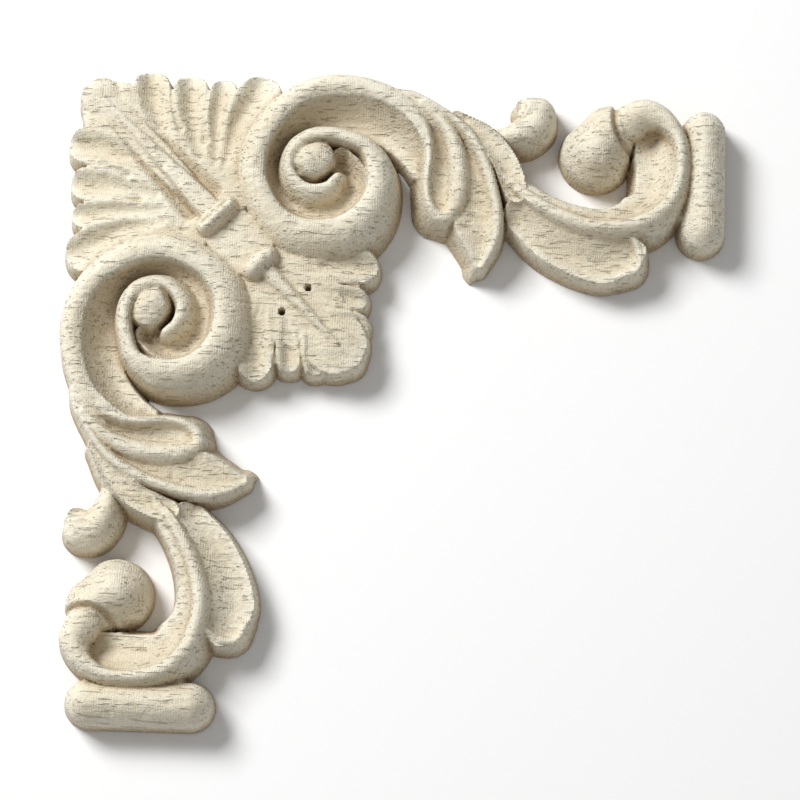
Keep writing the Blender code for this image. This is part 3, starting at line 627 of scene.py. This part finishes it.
def wood_color(nodes, pattern):
    """Cream wood with browner grain and dark pores, painted shade on the walls and in the hollows, and a
    painted highlight on the crests.
    """
    color = nodes.tint(pattern["cloud"], LIGHT_WOOD, CREAM_WOOD)
    layers = (
        (pattern["grain"], 0.34, GRAIN_TONE),
        # painted shade on the steep walls
        (pattern["steep"], 0.40, WALL_SHADE_TONE),
        # painted shade in the hollows and creases
        (nodes.stored("hollow"), 0.85, PAINTED_SHADE_AND_TOOL_LINE_TONE),
        # painted highlight on the crests
        (nodes.stored("crest"), 0.45, PALE_MOTTLE_AND_HIGHLIGHT_TONE),
        (nodes.spread(pattern["mottle"], 0.50, 0.72), 0.40, GRAIN_TONE),
        (pattern["ticks"], 0.05, PAINTED_SHADE_AND_TOOL_LINE_TONE),
        (nodes.spread(pattern["mottle"], 0.50, 0.28), 0.30, PALE_MOTTLE_AND_HIGHLIGHT_TONE),
        (pattern["short pores"], 0.26, PORE_TONE),
        (pattern["pores"], 0.28, PORE_TONE),
    )
    for values, most, tone in layers:
        color = nodes.tint(nodes.calc("MULTIPLY", values, most), color, tone)
    return color


def wood_height(nodes, pattern):
    """The finest relief: fuzz, open pores, tool lines, and streaks down the walls."""
    streaks = nodes.calc("MULTIPLY", pattern["wall marks"], pattern["steep"])
    height = nodes.calc("MULTIPLY", streaks, WALL_STREAKS)
    for name, amount in (("fuzz", 0.9), ("mottle", 0.5), ("ticks", -0.22), ("grain", -0.2),
                         ("pores", -1.6), ("short pores", -0.8)):
        height = nodes.calc("ADD", height, nodes.calc("MULTIPLY", pattern[name], amount))
    return height


def wood():
    """Raw pale wood with its grain and open pores along x."""
    material = bpy.data.materials.new("pale_wood")
    material.use_nodes = True
    nodes = Nodes(material)
    pattern = wood_patterns(nodes)
    shader = material.node_tree.nodes["Principled BSDF"]
    nodes.join(wood_color(nodes, pattern), shader.inputs["Base Color"])
    bump = material.node_tree.nodes.new("ShaderNodeBump")
    bump.inputs["Distance"].default_value = BUMP_HEIGHT
    nodes.join(wood_height(nodes, pattern), bump.inputs["Height"])
    nodes.join(bump.outputs["Normal"], shader.inputs["Normal"])
    roughness = nodes.spread(pattern["fuzz"], ROUGH_FROM, ROUGH_TO, ROUGH_LOW, ROUGH_HIGH)
    nodes.join(roughness, shader.inputs["Roughness"])
    shader.inputs["Specular IOR Level"].default_value = WOOD_SHINE
    return material


def stage():
    """The plain pale floor under the carving."""
    bpy.ops.mesh.primitive_plane_add(size=FLOOR_SIZE, location=FLOOR_PLACE)
    floor = bpy.context.object
    floor.name = "floor"
    material = bpy.data.materials.new("pale_floor")
    material.use_nodes = True
    shader = material.node_tree.nodes["Principled BSDF"]
    shader.inputs["Base Color"].default_value = FLOOR_TONE
    shader.inputs["Roughness"].default_value = FLOOR_ROUGHNESS
    floor.data.materials.append(material)


def area_light(name, location, target, size, power):
    """A soft square lamp that faces the target."""
    data = bpy.data.lights.new(name, "AREA")
    data.size = size
    data.energy = power
    lamp = bpy.data.objects.new(name, data)
    bpy.context.collection.objects.link(lamp)
    lamp.location = location
    lamp.rotation_euler = (Vector(target) - Vector(location)).to_track_quat("-Z", "Y").to_euler()


def lights():
    """A key light at the upper left, a weak fill at the lower right, and a pale room."""
    area_light("key", KEY_PLACE, MIDDLE, KEY_SIZE, KEY_POWER)
    area_light("fill", FILL_PLACE, MIDDLE, FILL_SIZE, FILL_POWER)
    world = bpy.data.worlds.new("soft_room")
    bpy.context.scene.world = world
    world.use_nodes = True
    background = world.node_tree.nodes["Background"]
    background.inputs["Color"].default_value = ROOM_TONE
    background.inputs["Strength"].default_value = ROOM_LIGHT


def camera():
    """The camera, aimed at the view's centre from its leaning place."""
    data = bpy.data.cameras.new("camera")
    data.sensor_width = SENSOR
    data.lens = SENSOR * DISTANCE / (PICTURE_WIDTH * MM)
    cam = bpy.data.objects.new("camera", data)
    bpy.context.collection.objects.link(cam)
    turn = Matrix.Rotation(math.radians(LEAN_DOWN), 4, "X")
    turn = turn @ Matrix.Rotation(math.radians(-LEAN_LEFT), 4, "Y")
    turn = turn @ Matrix.Rotation(math.radians(ROLL), 4, "Z")
    target = Vector(place(*VIEW_CENTRE))
    cam.matrix_world = Matrix.Translation(target + turn.to_3x3() @ Vector((0, 0, DISTANCE))) @ turn
    data.clip_start = CLIP_START
    bpy.context.scene.camera = cam


piece = carving()
piece.data.materials.append(wood())
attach(piece, "root")
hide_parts("corner_onlay")
stage()
lights()
camera()
bpy.context.scene.view_settings.view_transform = "Standard"
